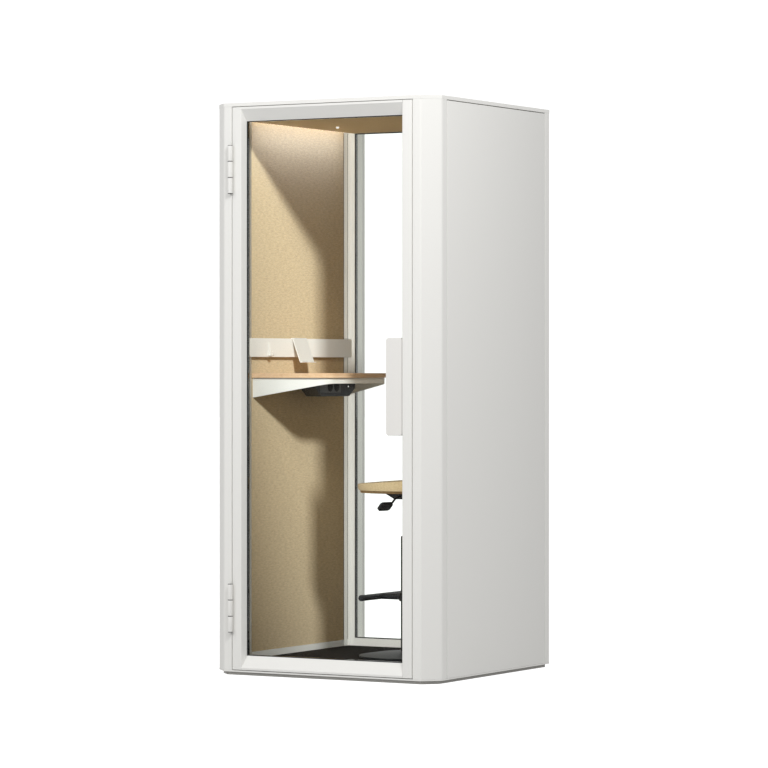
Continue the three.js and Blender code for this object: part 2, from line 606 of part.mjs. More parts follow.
// Desk: wooden top on a folded steel tray, open below and at the wall, shallow at its free edge
const deskWallX = -wallInner + CLEARANCE;
const deskFreeX = deskWallX + DESK_REACH;
function deskPlan(back, edge, radius, wallHalf, freeHalf) {
  const slope = Math.atan2(wallHalf - freeHalf, edge - back);
  const tangent = radius * Math.tan((Math.PI / 2 - slope) / 2);
  const shape = new THREE.Shape();
  shape.moveTo(back, -wallHalf);
  shape.lineTo(edge - tangent * Math.cos(slope), -freeHalf - tangent * Math.sin(slope));
  shape.absarc(edge - radius, -freeHalf + tangent, radius, -Math.PI / 2 + slope, 0);
  shape.absarc(edge - radius, freeHalf - tangent, radius, 0, Math.PI / 2 - slope);
  shape.lineTo(back, wallHalf);
  shape.closePath();
  return shape;
}
const woodBottom = DESK_TOP_Z - DESK_WOOD;
const wallHalfLength = postEndY;
const freeHalfLength = wallHalfLength - DESK_TAPER;
const woodPlan = deskPlan(deskWallX, deskFreeX, DESK_CORNER, wallHalfLength, freeHalfLength);
place('desk_top', upright(woodPlan, woodBottom, DESK_TOP_Z), OAK);
const trayTop = woodBottom - CLEARANCE;
const trayEdge = deskFreeX - TRAY_INSET;
const trayBottom = trayTop - TRAY_WALL_HEIGHT;
const trayPlan = (back, within) => deskPlan(
  back, deskFreeX - within, DESK_CORNER - within, wallHalfLength - within, freeHalfLength - within);
const trayBody = upright(trayPlan(deskWallX, TRAY_INSET), trayBottom, trayTop);
const trayHollow = upright(
  trayPlan(deskWallX - OVERCUT, TRAY_INSET + TRAY_SHEET), trayBottom - OVERCUT, trayTop - TRAY_SHEET);
const slopeWedge = alongY(toShape([
  [deskWallX - OVERCUT, trayBottom - OVERCUT], [deskFreeX, trayBottom - OVERCUT],
  [deskFreeX, trayTop - TRAY_FREE_HEIGHT], [trayEdge, trayTop - TRAY_FREE_HEIGHT],
  [deskWallX, trayBottom], [deskWallX - OVERCUT, trayBottom],
]), -halfDepth, halfDepth);
place('desk_tray', cut(trayBody, trayHollow, slopeWedge), WHITE_PAINT);

// Power unit hung under the tray, with its lower corners cut off
const powerTop = trayTop - TRAY_SHEET - CLEARANCE;
const powerBottom = powerTop - POWER_HEIGHT;
const powerX = [deskWallX + POWER_WALL_OFFSET, deskWallX + POWER_WALL_OFFSET + POWER_WIDTH];
const powerEnd = freeHalfLength - POWER_END_GAP;
const powerFront = POWER_FRONT_GAP - freeHalfLength;
place('power_unit', alongX(toShape([
  [powerFront + POWER_END_RUN, powerBottom], [powerEnd - POWER_END_RUN, powerBottom],
  [powerEnd, powerBottom + POWER_END_RISE], [powerEnd, powerTop], [powerFront, powerTop],
  [powerFront, powerBottom + POWER_END_RISE],
]), ...powerX), BLACK_PLASTIC);

// Accessory rail: rounded steel strip on two bosses that stand on the wall
const railX = [-wallInner + RAIL_STANDOFF, -wallInner + RAIL_STANDOFF + RAIL_SHEET];
const railTop = RAIL_BOTTOM_Z + RAIL_HEIGHT;
const railEnd = rearInner - RAIL_END_GAP;
const railFace = roundedRectangle(-railEnd, railEnd, RAIL_BOTTOM_Z, railTop, RAIL_CORNER);
const railStrip = alongX(railFace, ...railX);
const railMiddleZ = RAIL_BOTTOM_Z + RAIL_HEIGHT / 2;
const railBosses = [-1, 1].map((end) => {
  const bossY = end * (railEnd - RAIL_BOSS_INSET);
  return rod(RAIL_BOSS / 2, [-wallInner + CLEARANCE, bossY, railMiddleZ],
    [railX[0] + RAIL_SHEET / 2, bossY, railMiddleZ]);
});
place('accessory_rail', join(railStrip, ...railBosses), WARM_WHITE_PAINT);

// Coat hook: a folded J that grips the face of the rail
const hookBack = railX[1] + CLEARANCE;
const hookTop = railTop - HOOK_DROP;
const hookBottom = hookTop - HOOK_HEIGHT;
const hookFront = hookBack + HOOK_REACH;
const hookY = -railEnd + HOOK_END_OFFSET;
place('coat_hook', alongY(toShape([
  [hookBack, hookTop], [hookBack, hookBottom], [hookFront, hookBottom],
  [hookFront, hookBottom + HOOK_TIP], [hookFront - HOOK_SHEET, hookBottom + HOOK_TIP],
  [hookFront - HOOK_SHEET, hookBottom + HOOK_SHEET], [hookBack + HOOK_SHEET, hookBottom + HOOK_SHEET],
  [hookBack + HOOK_SHEET, hookTop],
]), hookY - HOOK_WIDTH / 2, hookY + HOOK_WIDTH / 2), WARM_WHITE_PAINT);

// Phone holder: a sheet clipped over the rail that leans out and ends in a lip
const clipBack = railX[0] - CLEARANCE - HOLDER_SHEET;
const holderTop = railTop + CLEARANCE + HOLDER_SHEET;
const leanTop = railX[1] + CLEARANCE;
const holderBottom = holderTop - HOLDER_DROP;
const leanBottom = leanTop + HOLDER_LEAN;
place('phone_holder', alongY(toShape([
  [clipBack, holderTop], [clipBack, railTop - HOLDER_CLIP],
  [clipBack + HOLDER_SHEET, railTop - HOLDER_CLIP],
  [clipBack + HOLDER_SHEET, railTop + CLEARANCE], [leanTop, railTop + CLEARANCE],
  [leanBottom, holderBottom], [leanBottom + HOLDER_LIP, holderBottom],
  [leanBottom + HOLDER_LIP, holderBottom + HOLDER_SHEET],
  [leanBottom + HOLDER_SHEET, holderBottom + HOLDER_SHEET], [leanTop + HOLDER_SHEET, holderTop],
]), HOLDER_Y - HOLDER_WIDTH / 2, HOLDER_Y + HOLDER_WIDTH / 2), WARM_WHITE_PAINT);

// Stool: domed base bolted to the floor, column, gas rod and the plate that the seat turns on
const baseBottom = carpetTop + CLEARANCE;
const columnBottom = baseBottom + BASE_DOME;
const columnTop = baseBottom + COLUMN_HEIGHT;
place('stool_base', turned([
  [0, baseBottom], [BASE_DIAMETER / 2, baseBottom], [BASE_DIAMETER / 2, baseBottom + BASE_EDGE],
  [BASE_DIAMETER / 3, baseBottom + BASE_EDGE + BASE_SHOULDER],
  [COLUMN_DIAMETER, baseBottom + BASE_DOME], [0, baseBottom + BASE_DOME],
], STOOL_X, STOOL_Y), BLACK_STEEL);
const rodBottom = columnTop - ROD_INSERT;
place('stool_column', cut(
  post(COLUMN_DIAMETER / 2, columnBottom + CLEARANCE, columnTop, STOOL_X, STOOL_Y),
  post(COLUMN_BORE / 2, columnBottom + BASE_DOME, columnTop + OVERCUT, STOOL_X, STOOL_Y)), BLACK_STEEL);
const panTop = SEAT_UNDERSIDE_Z + SEAT_PAN_THICKNESS;
const mechanismTop = SEAT_UNDERSIDE_Z - CLEARANCE;
const mechanismBottom = mechanismTop - MECHANISM_HEIGHT;
const rodTop = mechanismBottom - CLEARANCE;
place('gas_rod', post(ROD_DIAMETER / 2, rodBottom, rodTop, STOOL_X, STOOL_Y), BLACK_STEEL);
const mechanismHalf = MECHANISM_SIZE / 2;
const plateHalf = MECHANISM_TOP_SIZE / 2;
place('seat_mechanism', alongY(toShape([
  [STOOL_X - mechanismHalf / 2, mechanismBottom], [STOOL_X + mechanismHalf / 2, mechanismBottom],
  [STOOL_X + mechanismHalf, mechanismTop - MECHANISM_HEIGHT / 4], [STOOL_X + plateHalf, mechanismTop],
  [STOOL_X - plateHalf, mechanismTop], [STOOL_X - mechanismHalf, mechanismTop - MECHANISM_HEIGHT / 4],
]), STOOL_Y - mechanismHalf / 2, STOOL_Y + mechanismHalf / 2), BLACK_STEEL);

// Lever: a bent rod from the mechanism to a paddle, in the upright plane of its heading
const heading = THREE.MathUtils.degToRad(LEVER_HEADING);
const alongLever = ([run, across, z]) => [
  STOOL_X + run * Math.cos(heading) - across * Math.sin(heading),
  STOOL_Y + run * Math.sin(heading) + across * Math.cos(heading), z];
const leverStart = (mechanismHalf / 2 + CLEARANCE + (LEVER_ROD / 2) * Math.abs(Math.cos(heading)))
  / Math.abs(Math.sin(heading));
const leverZ = mechanismTop - MECHANISM_HEIGHT / 2;
const paddleZ = leverZ - LEVER_SWEEP_DROP;
const leverPath = new THREE.CatmullRomCurve3([
  [leverStart, 0, leverZ], [leverStart + LEVER_ROD, 0, leverZ],
  [(leverStart + LEVER_REACH) / 2, 0, leverZ - LEVER_BEND_DROP],
  [LEVER_REACH, 0, paddleZ],
].map((point) => new THREE.Vector3(...alongLever(point))));
const leverSection = new THREE.Shape().absarc(0, 0, LEVER_ROD / 2, 0, Math.PI * 2);
const leverRod = new THREE.ExtrudeGeometry(
  leverSection, { steps: 8, extrudePath: leverPath, curveSegments: 6, bevelEnabled: false });
const paddleHalf = PADDLE_WIDTH / 2;
const paddlePlan = roundedRectangle(
  LEVER_REACH - LEVER_ROD, LEVER_REACH + PADDLE_LENGTH, -paddleHalf, paddleHalf, PADDLE_WIDTH / 3);
const paddle = upright(paddlePlan, -PADDLE_THICKNESS / 2, PADDLE_THICKNESS / 2);
paddle.rotateX(THREE.MathUtils.degToRad(PADDLE_TILT)).rotateZ(heading).translate(STOOL_X, STOOL_Y, paddleZ);
place('lift_lever', join(leverRod, paddle), BLACK_PLASTIC);

// Seat: round ply pan, and a wedge cushion that is thin towards the desk and thick at the back
const cushionRadius = SEAT_DIAMETER / 2;
const seatPan = post(cushionRadius - SEAT_PAN_INSET, SEAT_UNDERSIDE_Z, panTop, STOOL_X, STOOL_Y);
place('seat_pan', seatPan, PLYWOOD);
const cushionBottom = panTop + CLEARANCE;
const cushionTop = cushionBottom + CUSHION_BACK;
const cushionBlank = turned([
  [0, cushionBottom], [cushionRadius, cushionBottom], [cushionRadius, cushionBottom + CUSHION_FRONT / 2],
  [cushionRadius - CUSHION_EDGE, cushionTop], [0, cushionTop],
], STOOL_X, STOOL_Y);
const thinEdgeX = STOOL_X - cushionRadius - OVERCUT;
const thickEdgeX = STOOL_X + cushionRadius;
const cushionSlope = alongY(toShape([
  [thinEdgeX, cushionBottom + CUSHION_FRONT], [thickEdgeX, cushionTop],
  [thickEdgeX, cushionTop + OVERCUT], [thinEdgeX, cushionTop + OVERCUT],
]), STOOL_Y - SEAT_DIAMETER, STOOL_Y + SEAT_DIAMETER);
place('seat_cushion', cut(cushionBlank, cushionSlope), BEIGE_FELT);

// Foot bar: a collar clamped on the column, an arm and a cross bar
const footX = STOOL_X - FOOT_BAR_REACH;
const footEnd = FOOT_BAR_LENGTH / 2;
const collarZ = inset([FOOT_BAR_Z, FOOT_BAR_Z], -FOOT_COLLAR_HEIGHT / 2);
const footBody = join(
  post(FOOT_COLLAR / 2, ...collarZ, STOOL_X, STOOL_Y),
  rod(FOOT_BAR_TUBE / 2, [footX, STOOL_Y, FOOT_BAR_Z], [STOOL_X, STOOL_Y, FOOT_BAR_Z]),
  rod(FOOT_BAR_TUBE / 2, [footX, STOOL_Y - footEnd, FOOT_BAR_Z], [footX, STOOL_Y + footEnd, FOOT_BAR_Z]));
const columnWay = post(COLUMN_DIAMETER / 2 + CLEARANCE, ...grown(collarZ), STOOL_X, STOOL_Y);
place('foot_bar', cut(footBody, columnWay), BLACK_STEEL);

export default pod;
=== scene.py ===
import math

import bpy
import numpy as np
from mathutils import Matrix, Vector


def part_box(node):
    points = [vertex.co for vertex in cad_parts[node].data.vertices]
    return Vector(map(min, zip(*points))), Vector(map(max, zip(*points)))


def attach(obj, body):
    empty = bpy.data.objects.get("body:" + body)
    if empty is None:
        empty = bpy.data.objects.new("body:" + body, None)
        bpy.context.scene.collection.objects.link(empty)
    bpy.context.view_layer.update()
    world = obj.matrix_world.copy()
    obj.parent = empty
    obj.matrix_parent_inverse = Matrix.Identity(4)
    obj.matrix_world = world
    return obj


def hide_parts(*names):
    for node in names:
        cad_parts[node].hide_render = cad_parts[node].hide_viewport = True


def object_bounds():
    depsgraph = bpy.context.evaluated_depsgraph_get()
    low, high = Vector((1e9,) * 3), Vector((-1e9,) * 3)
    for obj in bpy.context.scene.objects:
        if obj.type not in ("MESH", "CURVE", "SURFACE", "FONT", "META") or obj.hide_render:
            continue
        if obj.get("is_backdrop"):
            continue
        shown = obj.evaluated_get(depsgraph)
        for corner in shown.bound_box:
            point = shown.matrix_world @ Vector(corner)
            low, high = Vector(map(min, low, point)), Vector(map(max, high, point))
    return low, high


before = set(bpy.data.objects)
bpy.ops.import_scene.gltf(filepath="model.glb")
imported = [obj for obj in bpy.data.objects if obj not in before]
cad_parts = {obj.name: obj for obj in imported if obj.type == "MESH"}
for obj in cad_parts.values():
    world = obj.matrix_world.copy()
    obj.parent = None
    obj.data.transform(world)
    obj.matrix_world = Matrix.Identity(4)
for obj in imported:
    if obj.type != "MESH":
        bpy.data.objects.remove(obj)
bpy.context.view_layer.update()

# Camera
# A long lens from the front right, a little above half the pod's height and nearly level.
# The plain transform keeps white paint white.
scene = bpy.context.scene
scene.view_settings.view_transform = "Standard"
camera = bpy.data.objects.new("camera", bpy.data.cameras.new("camera"))
camera.data.lens = 163.58
camera.data.sensor_width = 36.0
camera.data.clip_end = 200.0
camera.location = (6.9106, -11.9428, 1.1944)
camera.rotation_euler = (math.radians(90 - 0.2615), 0.0, math.radians(30.066))
scene.collection.objects.link(camera)
scene.camera = camera


# Base
# A grey laminated plinth, set back so that the pod seems to float, and a folded steel plate over it.
# The plate is powder-coated white like the rest of the body.
def linear(hex_colour):
    """An sRGB hex colour as linear RGBA: each channel goes through the inverse sRGB curve."""
    srgb = np.array([int(hex_colour[i : i + 2], 16) for i in (0, 2, 4)]) / 255
    rgb = np.where(srgb <= 0.04045, srgb / 12.92, ((srgb + 0.055) / 1.055) ** 2.4)
    return (*(float(channel) for channel in rgb), 1.0)


def add_node(tree, kind, settings=(), links=()):
    """Adds a node, then sets its sockets or properties and links outputs to its sockets."""
    new = tree.nodes.new(kind)
    for key, value in settings:
        if isinstance(key, int) or key in new.inputs:
            new.inputs[key].default_value = value
        else:
            setattr(new, key, value)
    for key, output in links:
        tree.links.new(output, new.inputs[key])
    return new


def new_material(name):
    """An empty material and its tree."""
    material = bpy.data.materials.new(name)
    material.use_nodes = True
    material.node_tree.nodes.clear()
    return material, material.node_tree


def satin_skin(name, hex_colour, roughness):
    """A sprayed or moulded skin of one colour, whose fine peel blurs what it mirrors.

    Crests lie about 3 mm apart, as on baked powder.
    """
    crest_pitch = 0.003
    material, tree = new_material(name)
    place = add_node(tree, "ShaderNodeTexCoord")
    peel = add_node(
        tree,
        "ShaderNodeTexNoise",
        [("Scale", 1 / crest_pitch), ("Detail", 2.0)],
        [("Vector", place.outputs["Object"])],
    )
    bump = add_node(
        tree,
        "ShaderNodeBump",
        [("Strength", 0.05), ("Distance", 0.0002)],
        [("Height", peel.outputs["Fac"])],
    )
    paint = add_node(
        tree,
        "ShaderNodeBsdfPrincipled",
        [("Base Color", linear(hex_colour)), ("Roughness", roughness), ("IOR", 1.5)],
        [("Normal", bump.outputs["Normal"])],
    )
    add_node(tree, "ShaderNodeOutputMaterial", links=[("Surface", paint.outputs[0])])
    return material


def wear(material, *nodes):
    """Gives CAD nodes this material."""
    for name in nodes:
        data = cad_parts[name].data
        data.materials.clear()
        data.materials.append(material)


white_coat = satin_skin("white powder coat on steel", "f1f0ec", 0.5)
plinth_laminate = satin_skin("grey plinth laminate", "c4c2bd", 0.6)
wear(white_coat, "base_plate")
wear(plinth_laminate, "base_plinth")

# Floor
# An insulated board deck, pressed from wood chips about 6 mm long, carries one carpet tile.
# The tile is dark loop pile, tufted in loops about 4 mm across that give it a fine speckle.
chip, loop, speck = 0.006, 0.004, 0.012
board, tree = new_material("raw floor board")
place = add_node(tree, "ShaderNodeTexCoord")
chips = add_node(
    tree, "ShaderNodeTexVoronoi", [("Scale", 1 / chip)], [("Vector", place.outputs["Object"])]
)
chip_tone = add_node(
    tree,
    "ShaderNodeMix",
    [("data_type", "RGBA"), (6, linear("a58a66")), (7, linear("c4aa84"))],
    [(0, chips.outputs["Distance"])],
)
pressed_wood = add_node(
    tree,
    "ShaderNodeBsdfPrincipled",
    [("Roughness", 0.85)],
    [("Base Color", chip_tone.outputs[2])],
)
add_node(tree, "ShaderNodeOutputMaterial", links=[("Surface", pressed_wood.outputs[0])])
wear(board, "floor_deck")

loop_pile, tree = new_material("dark loop pile carpet")
place = add_node(tree, "ShaderNodeTexCoord")
loops = add_node(
    tree, "ShaderNodeTexVoronoi", [("Scale", 1 / loop)], [("Vector", place.outputs["Object"])]
)
speckle = add_node(
    tree,
    "ShaderNodeTexNoise",
    [("Scale", 1 / speck), ("Detail", 4.0)],
    [("Vector", place.outputs["Object"])],
)
loop_tone = add_node(
    tree,
    "ShaderNodeMix",
    [("data_type", "RGBA"), (6, linear("131110")), (7, linear("332d28"))],
    [(0, speckle.outputs["Fac"])],
)
loop_bump = add_node(
    tree,
    "ShaderNodeBump",
    [("Strength", 0.6), ("Distance", 0.002), ("invert", True)],
    [("Height", loops.outputs["Distance"])],
)
pile = add_node(
    tree,
    "ShaderNodeBsdfPrincipled",
    [("Roughness", 0.95), ("Specular IOR Level", 0.1)],
    [("Base Color", loop_tone.outputs[2]), ("Normal", loop_bump.outputs["Normal"])],
)
add_node(tree, "ShaderNodeOutputMaterial", links=[("Surface", pile.outputs[0])])
wear(loop_pile, "carpet")


# Corner posts
# Full-height folded steel profiles with a 45 degree outer face, the folds at its two edges well rounded.
# They stand on the base plate, and the side panels and the door close against them.
def rounded(outline, radii, steps=8):
    """An outline with every corner replaced by an arc.

    The arc of radius r touches both edges at r times the tangent of half the turn from the corner.
    It runs round a centre on the corner's bisector, r over the cosine of half the turn away.
    """
    corner = np.asarray(outline, float)
    radius = np.broadcast_to(np.asarray(radii, float), len(corner))
    before = np.roll(corner, 1, 0) - corner
    after = np.roll(corner, -1, 0) - corner
    before /= np.linalg.norm(before, axis=1, keepdims=True)
    after /= np.linalg.norm(after, axis=1, keepdims=True)
    bisector = before + after
    bisector /= np.linalg.norm(bisector, axis=1, keepdims=True)
    half_turn = np.pi / 2 - np.arccos(np.clip((before * after).sum(1), -1, 1)) / 2
    side = np.sign(before[:, 0] * after[:, 1] - before[:, 1] * after[:, 0])
    centre = corner + bisector * (radius / np.cos(half_turn))[:, None]
    middle = np.arctan2(-bisector[:, 1], -bisector[:, 0])
    swing = (np.linspace(-1, 1, steps)[None, :] * half_turn[:, None]) * -side[:, None]
    angle = middle[:, None] + swing
    points = centre[:, None, :] + radius[:, None, None] * np.stack([np.cos(angle), np.sin(angle)], -1)
    return points.reshape(-1, 2)


def bar(outline, low, high, along):
    """A closed outline carried straight from low to high along axis 0, 1 or 2, with flat ends.

    Returns vertices and faces; the outline's two coordinates are the other two axes in order.
    """
    flat = np.asarray(outline, float)
    count = len(flat)
    following = np.roll(flat, -1, 0)
    turn = (flat[:, 0] * following[:, 1] - flat[:, 1] * following[:, 0]).sum()
    if (turn < 0) != (along == 1):
        flat = flat[::-1]
    ends = np.repeat([low, high], count)
    verts = np.insert(np.tile(flat, (2, 1)), along, ends, axis=1)
    here = np.arange(count)
    there = np.roll(here, -1)
    walls = np.stack([here, there, there + count, here + count], 1).tolist()
    return verts, [*walls, here[::-1].tolist(), (here + count).tolist()]


def new_piece(name, shells, material, body, nodes, ease=0.0, smooth=35):
    """Puts shells of vertices and faces into one object that rides on a body and stands for CAD nodes."""
    starts = np.cumsum([0] + [len(verts) for verts, _ in shells])
    verts = np.concatenate([verts for verts, _ in shells])
    faces = [
        (np.array(face) + start).tolist()
        for (_, shell_faces), start in zip(shells, starts)
        for face in shell_faces
    ]
    mesh = bpy.data.meshes.new(name)
    mesh.from_pydata(verts.tolist(), [], faces)
    mesh.validate()
    mesh.materials.append(material)
    piece = bpy.data.objects.new(name, mesh)
    scene.collection.objects.link(piece)
    if ease:
        edge = piece.modifiers.new("eased edges", "BEVEL")
        edge.width = ease
        edge.segments = 3
        edge.limit_method = "ANGLE"
        edge.angle_limit = math.radians(35)
    mesh.shade_smooth()
    mesh.set_sharp_from_angle(angle=math.radians(smooth))
    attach(piece, body)
    if nodes:
        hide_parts(*nodes)
    return piece


chamfer, post_width, post_depth = 0.06, 0.0955, 0.146
panel_recess, flank_depth = 0.0203, 0.097
fold, cut_edge = 0.016, 0.001
post_section = rounded(
    [
        (chamfer, 0.0),
        (post_width, 0.0),
        (post_width, post_depth),
        (panel_recess, post_depth),
        (panel_recess, flank_depth),
        (0.0, flank_depth),
        (0.0, chamfer),
    ],
    [fold, 0.003, cut_edge, cut_edge, cut_edge, cut_edge, fold],
    10,
)
for corner in ("front_left", "front_right", "rear_left", "rear_right"):
    node = f"corner_post_{corner}"
    low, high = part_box(node)
    outer = np.array([high[0] if "right" in corner else low[0], high[1] if "rear" in corner else low[1]])
    inward = np.array([-1 if "right" in corner else 1, -1 if "rear" in corner else 1])
    upright = bar(outer + inward * post_section, low[2], high[2], 2)
    new_piece(f"{node}_skin", [upright], white_coat, "pod", [node])


# Side walls
# Painted steel outer panels over mineral wool, lined with thick wool felt, with a steel skirting below.
# Grey strips at the joints from the felt to the rear post and on to the rear frame are painted shade: they
# stand for the shadow in those gaps.
def oblong(low, high):
    """The four corners of a rectangle, in order, from its lowest corner and its highest."""
    return [(low[0], low[1]), (high[0], low[1]), (high[0], high[1]), (low[0], high[1])]


for side in ("left", "right"):
    node = f"outer_panel_{side}"
    low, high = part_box(node)
    sheet = bar(rounded(oblong(low[:2], high[:2]), cut_edge, 4), low[2], high[2], 2)
    new_piece(f"{node}_skin", [sheet], white_coat, "pod", [node], ease=0.0006)

# Painted shade: these thin grey strips put the shadow of the joint gaps into a colour.
shadow_gap_grey = satin_skin("grey painted shadow gap", "63615c", 0.7)
gap_back, gap_front, half_gap = 0.4046, 0.4037, 0.0013
gap_low, gap_high = 0.08, 2.157
for hand, side in ((-1, "left"), (1, "right")):
    for joint_y in (0.3636, 0.3957):
        strip = oblong((hand * gap_back, joint_y - half_gap), (hand * gap_front, joint_y + half_gap))
        name = f"joint_seal_{side}_{round(joint_y * 1000)}"
        new_piece(name, [bar(strip, gap_low, gap_high, 2)], shadow_gap_grey, "pod", [])


def mottled(name, dark, light, grain, lie, noise, relief, surface):
    """Two tones mixed by a noise of this grain, drawn out along its lie, which also raises the surface."""
    material, tree = new_material(name)
    place = add_node(tree, "ShaderNodeTexCoord")
    stretch = add_node(tree, "ShaderNodeMapping", [("Scale", lie)], [("Vector", place.outputs["Object"])])
    pattern = add_node(
        tree,
        "ShaderNodeTexNoise",
        [("Scale", 1 / grain), *noise],
        [("Vector", stretch.outputs["Vector"])],
    )
    tone = add_node(
        tree,
        "ShaderNodeMix",
        [("data_type", "RGBA"), (6, linear(dark)), (7, linear(light))],
        [(0, pattern.outputs["Fac"])],
    )
    bump = add_node(
        tree,
        "ShaderNodeBump",
        [("Strength", relief[0]), ("Distance", relief[1])],
        [("Height", pattern.outputs["Fac"])],
    )
    finish = add_node(
        tree,
        "ShaderNodeBsdfPrincipled",
        surface,
        [("Base Color", tone.outputs[2]), ("Normal", bump.outputs["Normal"])],
    )
    add_node(tree, "ShaderNodeOutputMaterial", links=[("Surface", finish.outputs[0])])
    return material


def pressed_fibre(name, dark, light, tuft):
    """Fibre pressed flat, matt with a faint sheen, in tufts of this size that lie along the wall.

    The fibres themselves are too fine to show, so the tufts are drawn several times coarser than real ones.
    """
    return mottled(
        name,
        dark,
        light,
        tuft,
        (1.0, 0.25, 1.0),
        [("Detail", 5.0), ("Roughness", 0.7)],
        (0.25, 0.0008),
        [("Roughness", 0.95), ("Sheen Weight", 0.1), ("Sheen Roughness", 0.6)],
    )


wall_felt = pressed_fibre("beige wool felt", "8b744e", "dec191", 0.005)
mineral_wool = pressed_fibre("mineral wool", "7d7b70", "a9a698", 0.01)
wear(wall_felt, "felt_panel_left", "felt_panel_right")
wear(mineral_wool, "wall_core_left", "wall_core_right")
wear(white_coat, "skirting_left", "skirting_right")


# Roof and ceiling
# A slotted steel cap over an insulated core, with a felt ceiling between two opal light strips.
# The strips are extruded acrylic with warm diodes behind, and a small white sensor looks down; the sensor's
# glow is painted light, as no lamp lies behind it.
def glowing(name, body, glow, roughness, strength):
    """A pale satin plastic body that gives off its own light, as if lit from behind; where no lamp lies
    behind it, that glow is painted light.
    """
    material, tree = new_material(name)
    lit = add_node(
        tree,
        "ShaderNodeBsdfPrincipled",
        [
            ("Base Color", linear(body)),
            ("Roughness", roughness),
            ("Emission Color", linear(glow)),
            ("Emission Strength", strength),
        ],
    )
    add_node(tree, "ShaderNodeOutputMaterial", links=[("Surface", lit.outputs[0])])
    return material


def skin(rings, capped=True):
    """Joins rings of points, all going round the same way, by quads and closes the two ends."""
    index = np.arange(rings.shape[0] * rings.shape[1]).reshape(rings.shape[:2])
    beside = np.roll(index, -1, 1)
    quads = np.stack([index[:-1], beside[:-1], beside[1:], index[1:]], -1).reshape(-1, 4).tolist()
    caps = [index[0, ::-1].tolist(), index[-1].tolist()] if capped else []
    return rings.reshape(-1, 3), [*quads, *caps]


def turned(profile, x, y, sides=48, capped=True):
    """A profile of radius and height, from axis to axis, turned about the upright line at x, y.

    Each profile point becomes a ring: x plus radius times cosine, y plus radius times sine.
    """
    radius, height = np.asarray(profile, float).T[:, :, None]
    angle = np.linspace(0, 2 * np.pi, sides, endpoint=False)
    rings = [x + radius * np.cos(angle), y + radius * np.sin(angle), height + 0 * angle]
    return skin(np.stack(rings, -1), capped)


ceiling_felt = pressed_fibre("ceiling wool felt", "c8a870", "e6ca95", 0.009)
opal = glowing("lit opal acrylic", "fff6e6", "fff6ea", 0.4, 1.6)
wear(white_coat, "roof_cap")
wear(mineral_wool, "roof_core")
wear(ceiling_felt, "ceiling_panel")
wear(opal, "led_strip_left", "led_strip_right")

low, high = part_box("presence_sensor")
sensor = (low + high) / 2
dome_radius, dome_drop, rim_height = 0.0065, 0.005, 0.002
arc = np.linspace(0.08, 1, 10) * np.pi / 2
dome = np.stack([dome_radius * np.sin(arc), high[2] - rim_height - dome_drop * np.cos(arc)], 1)
dome = np.vstack([dome, (dome_radius, high[2])])
# Painted light: the sensor lens glows a little although no lamp lies behind it.
sensor_painted_glow = glowing("white sensor with painted glow", "ffffff", "ffffff", 0.3, 0.7)
new_piece(
    "presence_sensor_dome",
    [turned(dome, sensor[0], sensor[1])],
    sensor_painted_glow,
    "pod",
    ["presence_sensor"],
)

# Fan
# A moulded axial fan sits in the roof core, under the slots of the cap.
# Its frame and its rotor are black glass-filled nylon.
black_moulding = satin_skin("black moulded plastic", "1b1b1d", 0.45)
wear(black_moulding, "fan_housing", "fan_rotor")

# Rear window
# A fixed steel frame, painted a warmer white, holds one pane of safety glass in a black rubber ring.
# The ring is an extruded channel, cut and joined at the corners, and the pane mirrors only when seen edge-on.
warm_coat = satin_skin("warm white powder coat", "eeece8", 0.5)
rubber = satin_skin("black glazing rubber", "1e1f20", 0.75)
wear(warm_coat, "rear_stile_left", "rear_stile_right", "rear_rail_top", "rear_rail_bottom")
wear(rubber, "rear_gasket", "door_gasket")
pane, tree = new_material("clear safety glass")
edge_on = add_node(tree, "ShaderNodeFresnel", [("IOR", 1.15)])
through = add_node(tree, "ShaderNodeBsdfTransparent", [("Color", linear("fefffe"))])
mirrored = add_node(tree, "ShaderNodeBsdfGlossy", [("Roughness", 0.02)])
glass = add_node(
    tree,
    "ShaderNodeMixShader",
    links=[(0, edge_on.outputs[0]), (1, through.outputs[0]), (2, mirrored.outputs[0])],
)
add_node(tree, "ShaderNodeOutputMaterial", links=[("Surface", glass.outputs[0])])
wear(pane, "rear_glass", "door_glass")

# Door
# Two folded steel stiles with a narrow bevel and two rails with a tall slope, welded into one frame.
# Steel stops on the posts take the closed door, and a white strip over it seals the head.
bevel_width, bevel_depth = 0.01, 0.026
for hand, name in ((-1, "door_stile_hinge"), (1, "door_stile_pull")):
    low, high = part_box(name)
    edge, inner = (low[0], high[0]) if hand < 0 else (high[0], low[0])
    plan = [
        (edge, low[1]),
        (inner + hand * bevel_width, low[1]),
        (inner, low[1] + bevel_depth),
        (inner, high[1]),
        (edge, high[1]),
    ]
    stile = bar(rounded(plan, [0.003, 0.004, 0.003, 0.001, 0.002], 6), low[2], high[2], 2)
    new_piece(f"{name}_skin", [stile], white_coat, "door", [name])
wear(white_coat, "door_rail_top", "door_rail_bottom", "door_stop_left", "door_stop_right")
half_head = 0.4
head_seal = bar(oblong((-0.478, 2.2085), (-0.466, 2.2106)), -half_head, half_head, 0)
new_piece("door_head_seal", [head_seal], white_coat, "pod", [])


